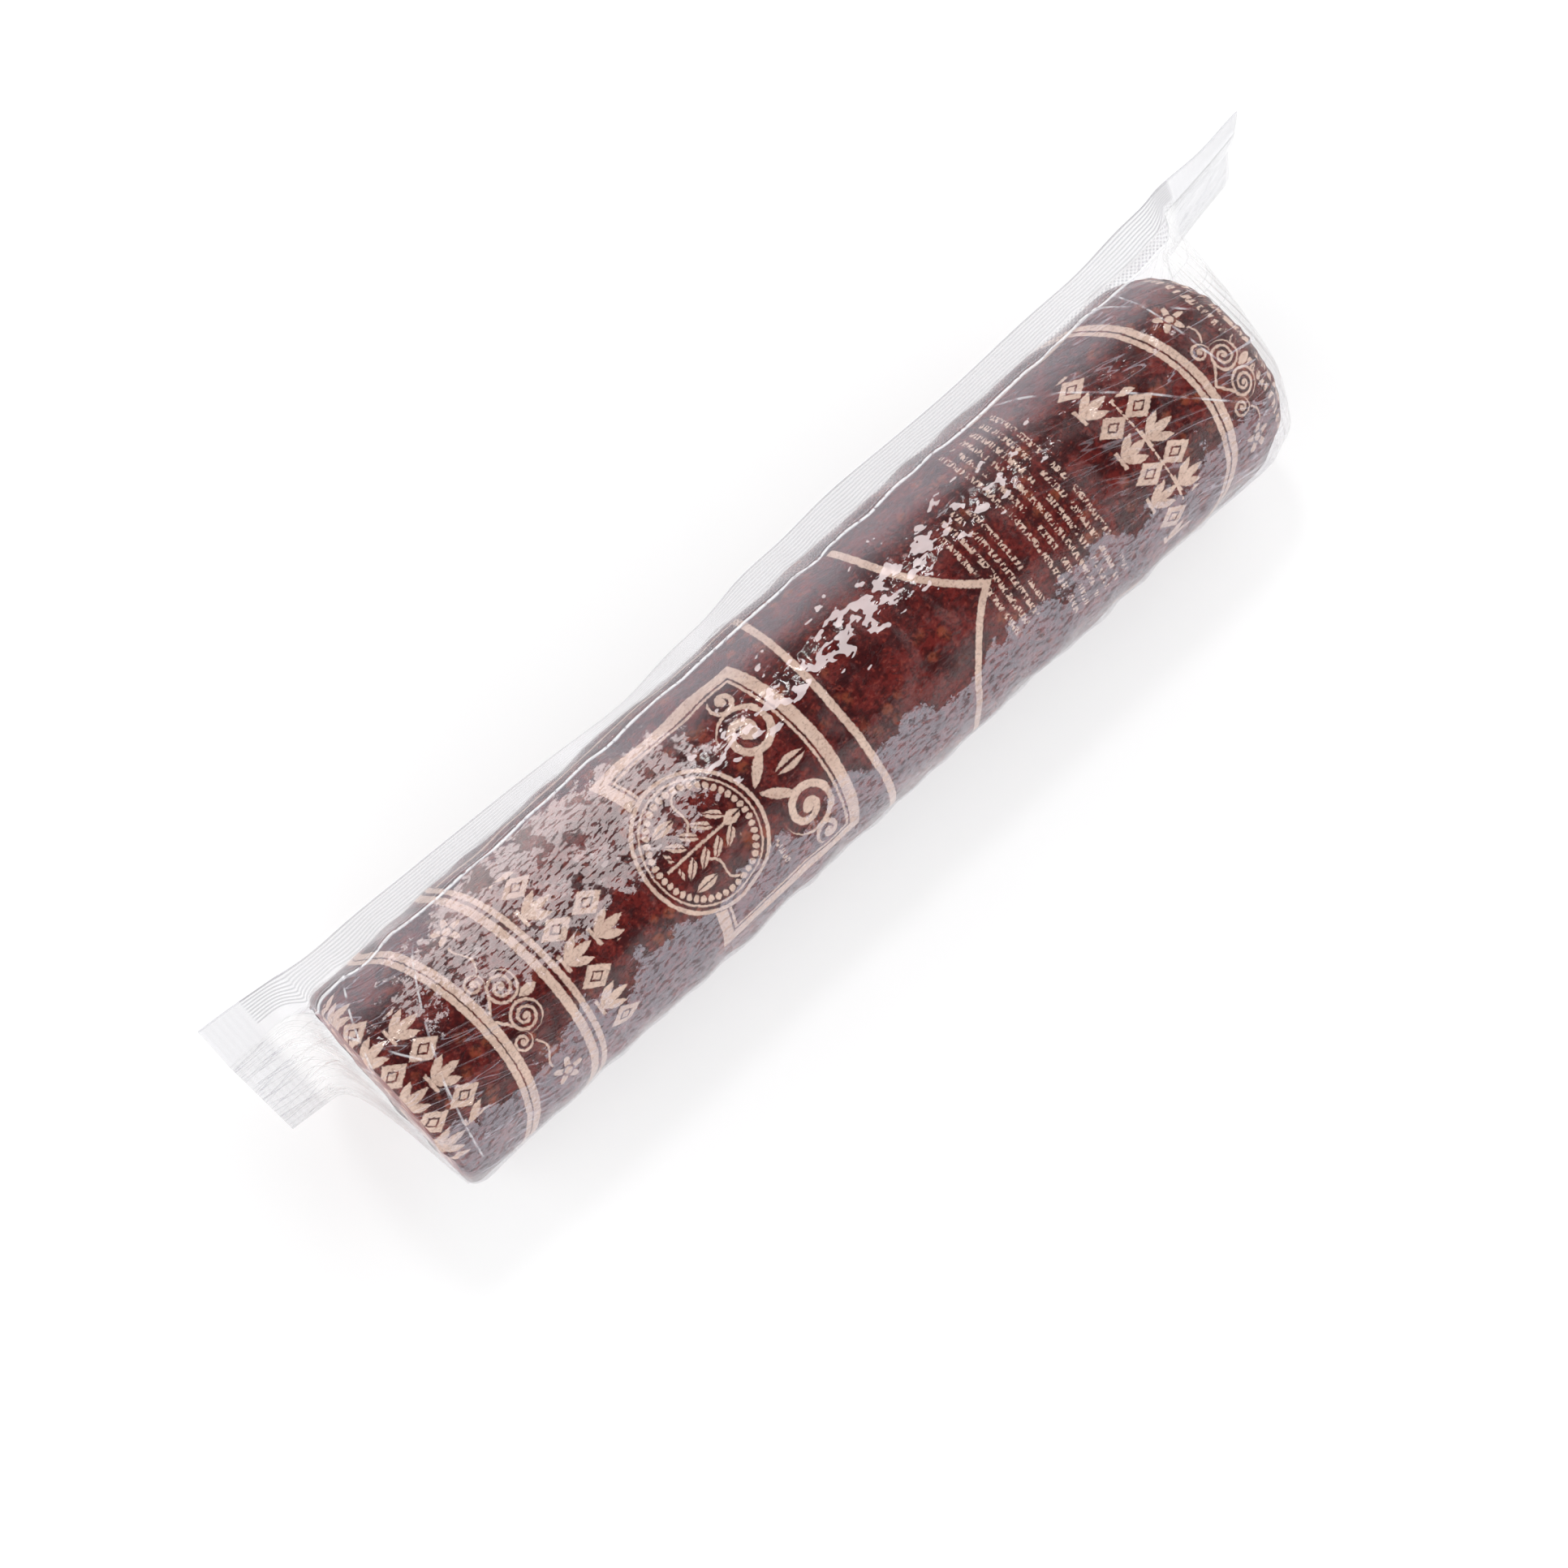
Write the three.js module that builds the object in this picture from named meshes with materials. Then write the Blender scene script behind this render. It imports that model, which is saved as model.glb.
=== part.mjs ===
// A dry-cured sausage with one end cut square, packed in clear film.
// +X runs along the sausage towards its round end and +Z is up.
// The origin is the middle of the flat underside that the package lies on. Lengths are in millimetres.
import * as THREE from "three";

// The cured meat, its casing and how they lie in the film
const wrappedDiameter = 64;
const sausageLength = 292;
const filmWall = 0.4;
const casingWall = 0.4;
const clearance = 0.3;
const pressedDepth = 0.8; // how far the underside is pressed flat where the package lies

// The round end, with a dimple where the casing is gathered and clipped
const domeLength = 26;
const domeFullness = { along: 2.4, across: 2.6 }; // exponents of the superellipse; 2 is a plain ellipse
const dimple = { rimRadius: 13, wallRun: 5, depth: 7 };
const neckRadius = 3;
const tuft = { radius: 5, length: 2.6 };
const clipRing = { wall: 2.2, width: 2.6, bevel: 0.6 };

// The fin seal along the film tube, and how far it droops below level along its length
const fin = { rootAngle: 38, width: 12, thickness: 0.5, droop: 22 };
const foldedStretch = { centre: -42, spread: 45, extraDroop: 28 };

// The film's flat tails. Angles are measured in the section, up from +Y.
const cutEndTail = {
  gather: 11, // from the cut face to where the film is flat
  reach: 25, // from the cut face to the tail's free edge
  halfWidth: 13,
  angle: 32,
  finAngle: 20,
  y: 19,
  aboveAxis: 2,
  drift: 1.5, // how far it strays sideways on its way out
  hold: 0, // how far short of its end the tube keeps its full size
  power: 2.2,
};
const roundEndTail = {
  gather: 8,
  reach: 38,
  halfWidth: 14,
  angle: 82,
  finAngle: 80,
  y: 28.5,
  aboveAxis: 3,
  drift: 7,
  hold: 24,
  power: 6,
};
const tailSlot = 0.4; // the hairline gap between the two layers of a tail

// Divisions of the surfaces
const facets = 45; // an odd number, so that no two faces of the film lie exactly opposite
const domeSteps = 7;
const bodySteps = 9;
const gatherSteps = 7;
const tailSteps = 2;

const filmRadius = wrappedDiameter / 2;
const axisHeight = filmRadius - pressedDepth;
const casingRadius = filmRadius - filmWall - clearance;
const cutX = -sausageLength / 2;
const tipX = sausageLength / 2;
const meatInset = casingWall + clearance;

const radians = THREE.MathUtils.degToRad;
const lerp = THREE.MathUtils.lerp;

// The profile of a surface that lies a given inset below the casing's outer face, from the cut end over the
// dome and its rim, down into the dimple and across the dimple's floor to a given radius.
function skinProfile(inset, floorRadius) {
  const points = [new THREE.Vector2(casingRadius - inset, cutX)];
  const run = casingRadius - dimple.rimRadius - inset;
  for (let i = 0; i <= domeSteps; i += 1) {
    const turn = (i / domeSteps) * Math.PI / 2;
    const along = Math.sin(turn) ** (2 / domeFullness.along);
    const across = Math.max(Math.cos(turn), 0) ** (2 / domeFullness.across);
    points.push(new THREE.Vector2(
      dimple.rimRadius + run * across,
      tipX - domeLength + (domeLength - inset) * along,
    ));
  }
  const wallSteps = 3;
  for (let i = 1; i <= wallSteps; i += 1) {
    const turn = (i / wallSteps) * Math.PI / 2;
    points.push(new THREE.Vector2(
      dimple.rimRadius - (dimple.wallRun - inset) * Math.sin(turn),
      tipX - inset - dimple.depth * (1 - Math.cos(turn)),
    ));
  }
  points.push(new THREE.Vector2(floorRadius, tipX - inset - dimple.depth));
  return points;
}

// A profile of (radius, distance along the sausage) turned round the axis. Each full-size ring is pressed
// flat underneath by the same depth, and the smaller rings of the dome by less and less.
function turned(profile) {
  const geometry = new THREE.LatheGeometry(profile, facets, Math.PI); // begins underneath
  geometry.rotateZ(-Math.PI / 2);
  const position = geometry.getAttribute("position");
  const fullRadius = casingRadius - meatInset;
  for (let i = 0; i < position.count; i += 1) {
    const radius = Math.hypot(position.getY(i), position.getZ(i));
    const size = (radius - dimple.rimRadius) / (fullRadius - dimple.rimRadius);
    const pressed = pressedDepth * THREE.MathUtils.clamp(size, 0, 1) ** 4;
    position.setZ(i, Math.max(position.getZ(i), pressed - radius));
  }
  return geometry.translate(0, 0, axisHeight);
}

function meatGeometry() {
  return turned([new THREE.Vector2(0, cutX), ...skinProfile(meatInset, 0)]);
}

// The casing is open at the cut end. At the round end its gathered neck stands in the dimple, passes
// through the clip and spreads into a short tuft.
function casingGeometry() {
  const inside = skinProfile(casingWall, 0).reverse();
  const tuftX = tipX - tuft.length;
  const profile = [
    ...inside,
    ...skinProfile(0, neckRadius),
    new THREE.Vector2(neckRadius, tuftX),
    new THREE.Vector2(tuft.radius, tuftX + tuft.length / 2),
    new THREE.Vector2(tuft.radius - 1, tipX),
    new THREE.Vector2(0, tipX),
  ];
  return turned(profile);
}

function clipGeometry() {
  const inner = neckRadius + clearance;
  const outer = inner + clipRing.wall;
  const end = tipX - tuft.length - clearance;
  const start = end - clipRing.width;
  const corners = [
    [inner, start + clipRing.bevel],
    [inner + clipRing.bevel, start],
    [outer - clipRing.bevel, start],
    [outer, start + clipRing.bevel],
    [outer, end - clipRing.bevel],
    [outer - clipRing.bevel, end],
    [inner + clipRing.bevel, end],
    [inner, end - clipRing.bevel],
    [inner, start + clipRing.bevel],
  ];
  const profile = corners.map(([radius, x]) => new THREE.Vector2(radius, x));
  return turned(profile);
}

// How far the film at x has gone from the full tube, 0, to a flat tail, 1.
function gathered(x) {
  if (x < 0) {
    const way = (cutX - clearance - filmWall - x) / cutEndTail.gather;
    return 1 - (1 - THREE.MathUtils.clamp(way, 0, 1)) ** cutEndTail.power;
  }
  const from = tipX - roundEndTail.hold;
  const way = (x - from) / (roundEndTail.hold + roundEndTail.gather);
  return THREE.MathUtils.clamp(way, 0, 1) ** roundEndTail.power;
}

// One point of the film's section at x, where turn is the angle round the tube from the fin's root.
// The tube's circle and the tail's flat outline are blended by how far the film is gathered.
function filmPoint(x, turn, inset) {
  const tail = x < 0 ? cutEndTail : roundEndTail;
  const amount = gathered(x);
  const rootAngle = radians(fin.rootAngle);
  const radius = filmRadius - inset;
  const roundY = radius * Math.cos(rootAngle + turn);
  const roundZ = Math.max(axisHeight + radius * Math.sin(rootAngle + turn), inset);

  const beyond = Math.max(Math.abs(x) - sausageLength / 2, 0) / tail.reach;
  const tailAngle = radians(tail.angle);
  const along = (tail.halfWidth - inset) * Math.cos(turn);
  const layer = inset > 0 ? tailSlot / 2 : tailSlot / 2 + filmWall;
  const atEdge = Math.abs(Math.sin(turn)) < 0.02; // the two layers meet at the tail's edges
  const across = atEdge ? 0 : layer * Math.sign(Math.sin(turn));
  const flatY = tail.y + tail.drift * beyond + along * Math.cos(tailAngle) - across * Math.sin(tailAngle);
  const flatZ = axisHeight + tail.aboveAxis + along * Math.sin(tailAngle) + across * Math.cos(tailAngle);
  return new THREE.Vector3(x, lerp(roundY, flatY, amount), lerp(roundZ, flatZ, amount));
}

// The fin's direction in the section at x.
function finDirection(x) {
  const tail = x < 0 ? cutEndTail : roundEndTail;
  const fold = Math.exp(-(((x - foldedStretch.centre) / foldedStretch.spread) ** 2));
  const level = -fin.droop - foldedStretch.extraDroop * fold;
  const angle = radians(lerp(level, tail.finAngle, gathered(x)));
  return new THREE.Vector3(0, Math.cos(angle), Math.sin(angle));
}

// The film's outer outline at x: round the tube from the fin's upper root to its lower one, then the fin.
function outerOutline(x) {
  const direction = finDirection(x);
  const half = new THREE.Vector3(0, -direction.z, direction.y).multiplyScalar(fin.thickness / 2);
  const root = filmPoint(x, 0, 0);
  const tip = root.clone().addScaledVector(direction, fin.width);
  const outline = [root.clone().add(half)];
  for (let i = 1; i < facets; i += 1) {
    outline.push(filmPoint(x, (i / facets) * 2 * Math.PI, 0));
  }
  outline.push(root.clone().sub(half), tip.clone().sub(half), tip.clone().add(half));
  return outline;
}

// The film's inner outline, with as many points as the outer one. It is drawn in along the sausage too, so
// that the wall keeps its thickness where the film closes over an end.
function innerOutline(outerX) {
  const x = outerX - Math.sign(outerX) * filmWall;
  const nearRoot = radians(3);
  const outline = [filmPoint(x, nearRoot, filmWall)];
  for (let i = 1; i < facets; i += 1) {
    outline.push(filmPoint(x, (i / facets) * 2 * Math.PI, filmWall));
  }
  for (const turn of [-nearRoot, -nearRoot / 3, nearRoot / 3]) {
    outline.push(filmPoint(x, turn, filmWall));
  }
  return outline;
}

// The places along the film where its section is drawn, from one tail's edge to the other's.
function filmStations() {
  const stations = [];
  const between = (from, to, steps) => {
    for (let i = 0; i < steps; i += 1) {
      stations.push(lerp(from, to, i / steps));
    }
  };
  const cutEdge = cutX - clearance - filmWall;
  const holdX = tipX - roundEndTail.hold;
  const cutFlatX = cutEdge - cutEndTail.gather;
  between(cutX - cutEndTail.reach, cutFlatX, tailSteps);
  for (let i = 0; i < gatherSteps; i += 1) {
    stations.push(lerp(cutFlatX, cutEdge, 1 - (1 - i / gatherSteps) ** 1.5));
  }
  between(cutEdge, holdX, bodySteps);
  between(holdX, tipX + roundEndTail.gather, gatherSteps + 2);
  between(tipX + roundEndTail.gather, tipX + roundEndTail.reach, tailSteps);
  stations.push(tipX + roundEndTail.reach);
  return stations;
}

// A closed surface from rows of points, each row joined to the next and the last to the first.
function ringOfRows(rows) {
  const width = rows[0].length;
  const geometry = new THREE.BufferGeometry().setFromPoints(rows.flat());
  const index = [];
  for (let row = 0; row < rows.length; row += 1) {
    const start = row * width;
    const nextStart = ((row + 1) % rows.length) * width;
    for (let i = 0; i < width; i += 1) {
      const j = (i + 1) % width;
      index.push(start + i, nextStart + j, nextStart + i);
      index.push(start + i, start + j, nextStart + j);
    }
  }
  geometry.setIndex(index);
  return geometry;
}

function filmGeometry() {
  const stations = filmStations();
  const outside = stations.map(outerOutline);
  const inside = stations.map(innerOutline).reverse();
  return ringOfRows([...outside, ...inside]);
}

function piece(name, geometry, color, roughness, metalness) {
  const mesh = new THREE.Mesh(geometry, new THREE.MeshStandardMaterial({ color, roughness, metalness }));
  mesh.name = name;
  return mesh;
}

const sausage = new THREE.Group();
sausage.add(
  piece("meat", meatGeometry(), 0x7a2a22, 0.55, 0),
  piece("casing", casingGeometry(), 0x5e2320, 0.5, 0),
  piece("clip", clipGeometry(), 0xb9bbbe, 0.35, 1),
  piece("film_wrap", filmGeometry(), 0xdfe0e6, 0.12, 0),
);

export default sausage;
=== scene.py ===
import bpy
import numpy as np
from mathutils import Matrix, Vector


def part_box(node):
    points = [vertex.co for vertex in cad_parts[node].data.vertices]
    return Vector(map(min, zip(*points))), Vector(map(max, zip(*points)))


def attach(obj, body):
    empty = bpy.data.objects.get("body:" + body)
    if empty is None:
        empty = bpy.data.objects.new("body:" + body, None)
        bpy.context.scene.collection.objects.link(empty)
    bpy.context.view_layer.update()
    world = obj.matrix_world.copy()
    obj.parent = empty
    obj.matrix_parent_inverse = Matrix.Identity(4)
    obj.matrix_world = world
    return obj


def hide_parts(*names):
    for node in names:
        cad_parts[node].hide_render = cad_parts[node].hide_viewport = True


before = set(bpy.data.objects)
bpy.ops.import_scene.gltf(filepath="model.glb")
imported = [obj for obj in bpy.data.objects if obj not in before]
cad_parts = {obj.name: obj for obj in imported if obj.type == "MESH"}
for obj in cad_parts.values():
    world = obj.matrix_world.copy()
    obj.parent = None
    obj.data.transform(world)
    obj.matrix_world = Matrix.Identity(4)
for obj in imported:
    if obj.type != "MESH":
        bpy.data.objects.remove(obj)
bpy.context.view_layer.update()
mm = 0.001


def boxOf(node):  # lowest and highest corner of a CAD node, in mm
    low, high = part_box(node)
    return np.array(low) / mm, np.array(high) / mm


casingLow, casingHigh = boxOf("casing")
meatLow, meatHigh = boxOf("meat")
clipLow, clipHigh = boxOf("clip")
filmLow, filmHigh = boxOf("film_wrap")
casingRadius = (casingHigh[1] - casingLow[1]) / 2
axisHeight = casingHigh[2] - casingRadius
cutX, tipX = casingLow[0], casingHigh[0]
print("frame loaded, casing radius", round(float(casingRadius), 2), "mm")


def ripple(x, angle, shortest, longest, seed, waves=70):
    # sum of waves cos(m angle + k x + phase), m whole so that it closes round the log, mean square 1
    rng = np.random.default_rng(seed)
    length = np.exp(rng.uniform(np.log(shortest), np.log(longest), waves))
    way = rng.uniform(0, 2 * np.pi, waves)
    phase = rng.uniform(0, 2 * np.pi, waves)
    m = np.round(2 * np.pi * 31 / length * np.sin(way))
    k = 2 * np.pi / length * np.cos(way)
    total = np.zeros(np.broadcast(x, angle).shape)
    for i in range(waves):
        total += np.cos(m[i] * angle + k[i] * x + phase[i])
    return total / np.sqrt(waves / 2)


def smooth(value, low, high):  # 0 below low, 1 above high, with a soft step between
    t = np.clip((value - low) / (high - low), 0, 1)
    return t * t * (3 - 2 * t)


def ringQuads(rows, columns, first=0):
    # quads between each two rows of rings whose last column joins the first
    r, c = np.meshgrid(np.arange(rows - 1), np.arange(columns), indexing="ij")
    n = (c + 1) % columns
    corners = [r * columns + c, r * columns + n, (r + 1) * columns + n, (r + 1) * columns + c]
    return np.stack(corners, -1).reshape(-1, 4) + first


def gridUv(along, wayFrom, wayTo):
    # the four corners' (along, way round) of each quad that ringQuads makes
    r, c = np.meshgrid(np.arange(len(along) - 1), np.arange(len(wayFrom)), indexing="ij")
    corners = [(along[r], wayFrom[c]), (along[r], wayTo[c]), (along[r + 1], wayTo[c]), (along[r + 1], wayFrom[c])]
    return np.stack([np.stack(corner, -1) for corner in corners], -2).reshape(-1, 4, 2)


def makePiece(name, points, quads, triangles=None, uv=None):
    # a mesh from points in mm; a closed skin whose volume comes out negative is turned round
    points = np.asarray(points, float) * mm
    triangles = np.zeros((0, 3), int) if triangles is None else triangles
    flat = np.concatenate([quads[:, [0, 1, 2]], quads[:, [0, 2, 3]], triangles])
    a, b, c = points[flat[:, 0]], points[flat[:, 1]], points[flat[:, 2]]
    turned = np.einsum("ij,ij->i", a, np.cross(b, c)).sum() < 0
    if turned:
        quads, triangles = quads[:, ::-1], triangles[:, ::-1]
    mesh = bpy.data.meshes.new(name)
    mesh.vertices.add(len(points))
    mesh.vertices.foreach_set("co", points.ravel())
    loops = np.concatenate([quads.ravel(), triangles.ravel()])
    mesh.loops.add(len(loops))
    mesh.loops.foreach_set("vertex_index", loops)
    starts = np.concatenate([np.arange(len(quads)) * 4, len(quads) * 4 + np.arange(len(triangles)) * 3])
    mesh.polygons.add(len(starts))
    mesh.polygons.foreach_set("loop_start", starts)
    mesh.polygons.foreach_set("use_smooth", np.ones(len(starts), bool))
    if uv is not None:
        quadUv, triangleUv = uv
        if turned:
            quadUv, triangleUv = quadUv[:, ::-1], triangleUv[:, ::-1]
        corners = np.concatenate([quadUv.reshape(-1, 2), triangleUv.reshape(-1, 2)])
        mesh.uv_layers.new(name="wrap").data.foreach_set("uv", corners.ravel() * mm)
    mesh.update(calc_edges=True)
    mesh.validate()
    piece = bpy.data.objects.new(name, mesh)
    bpy.context.scene.collection.objects.link(piece)
    print(name, len(points), "points")
    return piece


def turnedSkin(name, points, poles, uvAlong, uvAround):
    # a skin of rings closed by a point at each end; uvAlong per ring, uvAround per column edge
    rows, columns = points.shape[:2]
    quads = ringQuads(rows, columns)
    last = rows * columns
    c = np.arange(columns)
    n = (c + 1) % columns
    lowCap = np.stack([np.full(columns, last), n, c], -1)
    highCap = np.stack([np.full(columns, last + 1), (rows - 1) * columns + c, (rows - 1) * columns + n], -1)
    quadUv = gridUv(uvAlong, uvAround[:-1], uvAround[1:])
    middle = (uvAround[c] + uvAround[c + 1]) / 2

    def capUv(along, ways):
        return np.stack([np.stack([np.full(columns, along), way], -1) for way in ways], -2)

    lowUv = capUv(uvAlong[0], (middle, uvAround[c + 1], uvAround[c]))
    highUv = capUv(uvAlong[-1], (middle, uvAround[c], uvAround[c + 1]))
    allPoints = np.concatenate([points.reshape(-1, 3), np.asarray(poles, float)])
    caps, capUvs = np.concatenate([lowCap, highCap]), np.concatenate([lowUv, highUv])
    return makePiece(name, allPoints, quads, caps, (quadUv, capUvs))


class Wire:
    # a value, colour or vector on its way through a material; + - * / and so on add Math nodes
    def __init__(self, tree, socket=None):
        self.tree, self.socket = tree, socket

    def node(self, kind, settings=None, inputs=None, output=0):
        made = self.tree.nodes.new(kind)
        for key, value in (settings or {}).items():
            setattr(made, key, value)
        for key, value in (inputs or {}).items():
            if isinstance(value, Wire):
                self.tree.links.new(value.socket, made.inputs[key])
            else:
                made.inputs[key].default_value = value
        return Wire(self.tree, made.outputs[output] if made.outputs else None)

    def maths(self, operation, *values, clamp=False):
        return self.node("ShaderNodeMath", {"operation": operation, "use_clamp": clamp}, dict(enumerate(values)))

    def __add__(self, other): return self.maths("ADD", self, other)
    def __radd__(self, other): return self.maths("ADD", other, self)
    def __sub__(self, other): return self.maths("SUBTRACT", self, other)
    def __rsub__(self, other): return self.maths("SUBTRACT", other, self)
    def __mul__(self, other): return self.maths("MULTIPLY", self, other)
    def __rmul__(self, other): return self.maths("MULTIPLY", other, self)
    def __truediv__(self, other): return self.maths("DIVIDE", self, other)
    def __rtruediv__(self, other): return self.maths("DIVIDE", other, self)
    def __pow__(self, other): return self.maths("POWER", self, other)
    def __abs__(self): return self.maths("ABSOLUTE", self)
    def __neg__(self): return self.maths("MULTIPLY", self, -1.0)
    def low(self, other): return self.maths("MINIMUM", self, other)
    def high(self, other): return self.maths("MAXIMUM", self, other)
    def clamp(self): return self.maths("ADD", self, 0.0, clamp=True)
    def call(self, operation, *others): return self.maths(operation, self, *others)

    def vector(self, x, y, z=0.0):
        return self.node("ShaderNodeCombineXYZ", None, {0: x, 1: y, 2: z})

    def split(self):
        return [self.node("ShaderNodeSeparateXYZ", None, {0: self}, i) for i in range(3)]

    def noise(self, scale, detail=2.0, rough=0.5, output=0):
        sockets = {"Vector": self, "Scale": scale, "Detail": detail, "Roughness": rough}
        return self.node("ShaderNodeTexNoise", None, sockets, output)

    def cells(self, scale, feature="F1", output=0):
        return self.node("ShaderNodeTexVoronoi", {"feature": feature}, {"Vector": self, "Scale": scale}, output)

    def step(self, low, high):  # 0 at low, 1 at high, smooth between
        sockets = {0: self, 1: low, 2: high, 3: 0.0, 4: 1.0}
        return self.node("ShaderNodeMapRange", {"interpolation_type": "SMOOTHSTEP"}, sockets)

    def blend(self, first, second):  # colour first where this is 0, second where it is 1
        return self.node("ShaderNodeMix", {"data_type": "RGBA"}, {0: self, 6: first, 7: second}, 2)

    def bump(self, distance, strength=1.0):
        return self.node("ShaderNodeBump", None, {"Height": self, "Distance": distance, "Strength": strength})


def newMaterial(name, viewColour):  # an empty material, with its colour in the solid view
    made = bpy.data.materials.new(name)
    made.use_nodes = True
    made.diffuse_color = viewColour
    made.node_tree.nodes.clear()
    return made, Wire(made.node_tree)


def finishMaterial(wire, shader):
    wire.node("ShaderNodeOutputMaterial", None, {"Surface": shader})


def rgb(r, g, b):
    return (r, g, b, 1.0)


edge = 0.14  # half the softness of a printed edge, in mm


def fill(inside):  # 1 where a distance in mm is above 0
    return (inside * (0.5 / edge) + 0.5).clamp()


def stroke(distance, half):  # 1 along a line of a given half width
    return fill(half - abs(distance))


def within(value, low, high):  # 1 between two values
    return fill((value - low).low(high - value))


def spiral(x, y, pitch, turns, half):
    # arm where radius / pitch - angle / full turn is whole, out to a number of turns
    radius = (x * x + y * y).call("SQRT")
    angle = y.call("ARCTAN2", x)
    arm = (radius / pitch - angle / (2 * np.pi)).call("FRACT") - 0.5
    return (stroke(arm * pitch, half) * fill(pitch * turns - radius)).high(fill(half * 1.7 - radius))


def leaf(x, y, length, width):  # pointed oval along x
    return fill(width * (1.0 - (x / length) ** 2.0) - abs(y))


def turn(x, y, degrees):  # x cos + y sin and y cos - x sin
    c, s = float(np.cos(np.radians(degrees))), float(np.sin(np.radians(degrees)))
    return x * c + y * s, y * c - x * s


printed = {
    "rows": [(-144, -26, 33), (-134, -9, 26), (-91, -17, 37), (-81, 0, 16), (98, -16, 42), (107, -2, 32)],
    "rowPitch": 7.6,
    "frontMiddle": 11.5,                         # way round to the middle of the front
    "frontHalf": 46.0,                           # and half its width
    "rings": [                                   # place, bend, and each line's offset and half width
        (-119.0, -0.0055, [(-1.25, 0.85), (1.05, 1.05)]),
        (-99.0, -0.0039, [(-1.35, 1.2), (1.7, 0.85)]),
        (123.0, -0.0072, [(-1.3, 0.75), (1.1, 1.1)]),
    ],
    "ornaments": [(-112.0, 9.8, 25.5, 1.5), (131.5, 13.5, 21.5, -2.0)],   # scrolls, then their sprays
    "oval": (-50.0, 12.0, 17.5, 19.5),           # middle and half sizes
    "smallPrint": [(61.5, 81.9, -24.0, 38.0), (44.5, 57.0, -8.0, 28.0)],
    "lineStart": 61.5, "linePitch": 3.4, "lineHalf": 0.8,
}


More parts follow.
